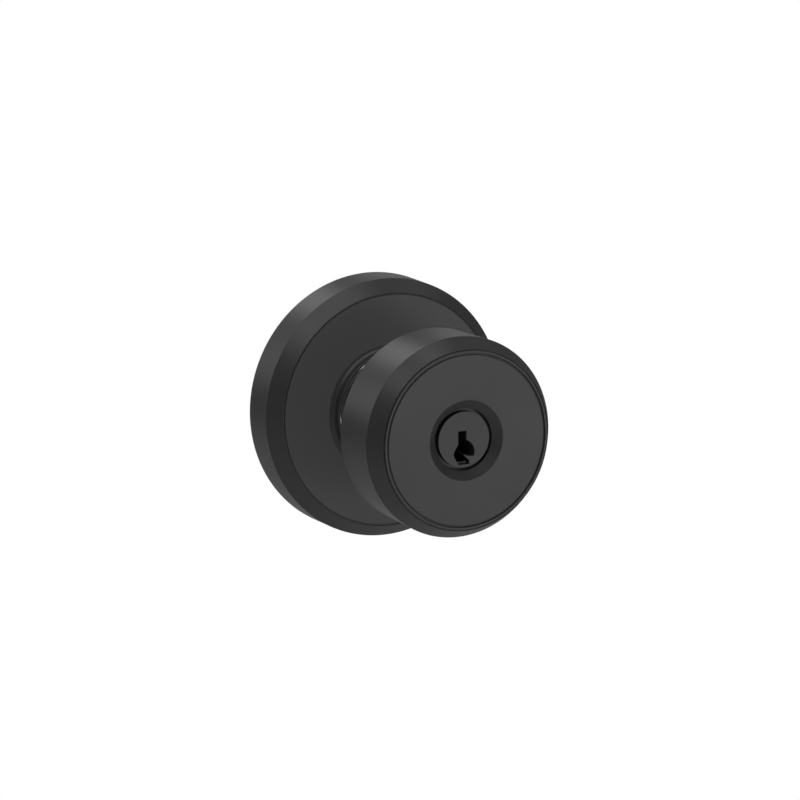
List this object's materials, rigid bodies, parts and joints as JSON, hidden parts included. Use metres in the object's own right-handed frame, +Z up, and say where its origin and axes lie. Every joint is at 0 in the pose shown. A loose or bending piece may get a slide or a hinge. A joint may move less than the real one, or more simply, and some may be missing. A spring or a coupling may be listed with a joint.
{
  "type": "keyed entry knob lock",
  "caption": "Matte black keyed entry knob lock for a door: outer knob with key cylinder, inner knob with turn button, round roses and a deadlocking spring latch.",
  "frame": {"origin": "on the knobs' axis in the plane of the door's outer face, at the back of the outer rose", "axes": "+Y along the knobs' axis from the outer to the inner side, +Z up, +X towards the door's edge and the latch bolt"},
  "size_m": [0.108, 0.1689, 0.0706],
  "materials": {
    "black_finish": "matte",
    "black_plug": "matte",
    "brass": "machined",
    "spring_steel": "drawn wire",
    "die_cast_zinc": "satin nickel",
    "zinc_plated_steel": "zinc plated"
  },
  "bodies": {
    "frame": {"outer_rose": "black_finish", "outer_mounting_plate": "zinc_plated_steel", "mounting_posts": "zinc_plated_steel", "outer_bearing": "die_cast_zinc", "spring_cage": "zinc_plated_steel", "return_spring": "spring_steel", "latch_case_tube": "zinc_plated_steel", "latch_side_plates": "zinc_plated_steel", "latch_spacers": "zinc_plated_steel", "bolt_spring_seat": "zinc_plated_steel", "latch_backing_plate": "zinc_plated_steel", "latch_face_plate": "black_finish", "latch_screws": "black_finish", "bolt_spring": "spring_steel", "inner_rose": "black_finish", "inner_mounting_plate": "zinc_plated_steel", "mounting_screws": "zinc_plated_steel", "inner_bearing": "die_cast_zinc"},
    "outer_knob": {"outer_knob_shell": "black_finish", "outer_knob_face": "black_finish", "outer_knob_shank": "black_finish", "outer_drive_sleeve": "zinc_plated_steel", "drive_plate": "zinc_plated_steel", "spindle": "zinc_plated_steel", "outer_catch_spring": "spring_steel", "cylinder_shell": "brass", "cylinder_support_plate": "die_cast_zinc", "tower_cover": "brass", "pin_springs": "spring_steel"},
    "key_plug": {"key_plug": "black_plug", "plug_retainer_cap": "die_cast_zinc", "tailpiece": "zinc_plated_steel"},
    "key_pins": {"key_pins": "brass"},
    "driver_pins": {"driver_pins": "brass"},
    "outer_catch": {"outer_knob_catch": "zinc_plated_steel"},
    "hub": {"latch_hub": "die_cast_zinc"},
    "bolt": {"retractor_slide": "zinc_plated_steel", "latch_bolt": "die_cast_zinc", "plunger_spring": "spring_steel"},
    "plunger": {"deadlatch_plunger": "die_cast_zinc"},
    "inner_knob": {"inner_knob_shell": "black_finish", "inner_knob_face": "black_finish", "inner_knob_shank": "black_finish", "inner_drive_sleeve": "zinc_plated_steel", "inner_retaining_ring": "spring_steel", "inner_catch_spring": "spring_steel", "button_bushing": "die_cast_zinc"},
    "turn_button": {"turn_button": "black_finish", "button_shaft": "brass", "button_clip": "spring_steel"},
    "inner_catch": {"inner_knob_catch": "zinc_plated_steel"}
  },
  "joints": [
    {"name": "outer_knob_turn", "type": "hinge", "parent": "frame", "child": "outer_knob", "pos_m": [0, 0, 0], "axis": [0, 1, 0], "range_deg": [0, 70], "stiffness_Nm_per_rad": 0.3, "springref_deg": -17.19, "deforming": ["return_spring"]},
    {"name": "inner_knob_turn", "type": "hinge", "parent": "frame", "child": "inner_knob", "pos_m": [0, 0.0445, 0], "axis": [0, 1, 0], "range_deg": [0, 70]},
    {"name": "hub_turn", "type": "hinge", "parent": "frame", "child": "hub", "pos_m": [0, 0.02225, 0], "axis": [0, 1, 0], "range_deg": [0, 70]},
    {"name": "bolt_slide", "type": "slide", "parent": "frame", "child": "bolt", "axis": [1, 0, 0], "range_m": [-0.0127, 0], "deforming": ["bolt_spring"]},
    {"name": "plunger_slide", "type": "slide", "parent": "bolt", "child": "plunger", "axis": [1, 0, 0], "range_m": [-0.007, 0], "stiffness_N_per_m": 120, "springref_m": 0.003, "deforming": ["plunger_spring"]},
    {"name": "key_turn", "type": "hinge", "parent": "outer_knob", "child": "key_plug", "pos_m": [0, -0.045, 0], "axis": [0, 1, 0], "range_deg": [0, 90]},
    {"name": "button_turn", "type": "hinge", "parent": "inner_knob", "child": "turn_button", "pos_m": [0, 0.09, 0], "axis": [0, 1, 0], "range_deg": [0, 90]},
    {"name": "key_pins_drop", "type": "slide", "parent": "key_plug", "child": "key_pins", "axis": [0, 0, 1], "range_m": [-0.0015, 0]},
    {"name": "driver_pins_lift", "type": "slide", "parent": "outer_knob", "child": "driver_pins", "axis": [0, 0, 1], "range_m": [0, 0.0018], "stiffness_N_per_m": 60, "springref_m": -0.002, "deforming": ["pin_springs"]},
    {"name": "outer_catch_press", "type": "slide", "parent": "outer_knob", "child": "outer_catch", "axis": [0, 0, 1], "range_m": [0, 0.0013], "stiffness_N_per_m": 300, "springref_m": -0.001, "deforming": ["outer_catch_spring"]},
    {"name": "inner_catch_press", "type": "slide", "parent": "inner_knob", "child": "inner_catch", "axis": [0, 0, 1], "range_m": [0, 0.0013], "stiffness_N_per_m": 300, "springref_m": -0.001, "deforming": ["inner_catch_spring"]}
  ],
  "couplings": [
    {"joint": "inner_knob_turn", "follows": "outer_knob_turn", "ratio": 1},
    {"joint": "hub_turn", "follows": "outer_knob_turn", "ratio": 1},
    {"joint": "bolt_slide", "follows": "outer_knob_turn", "m_per_rad": -0.010395},
    {"joint": "button_turn", "follows": "key_turn", "ratio": 1}
  ]
}
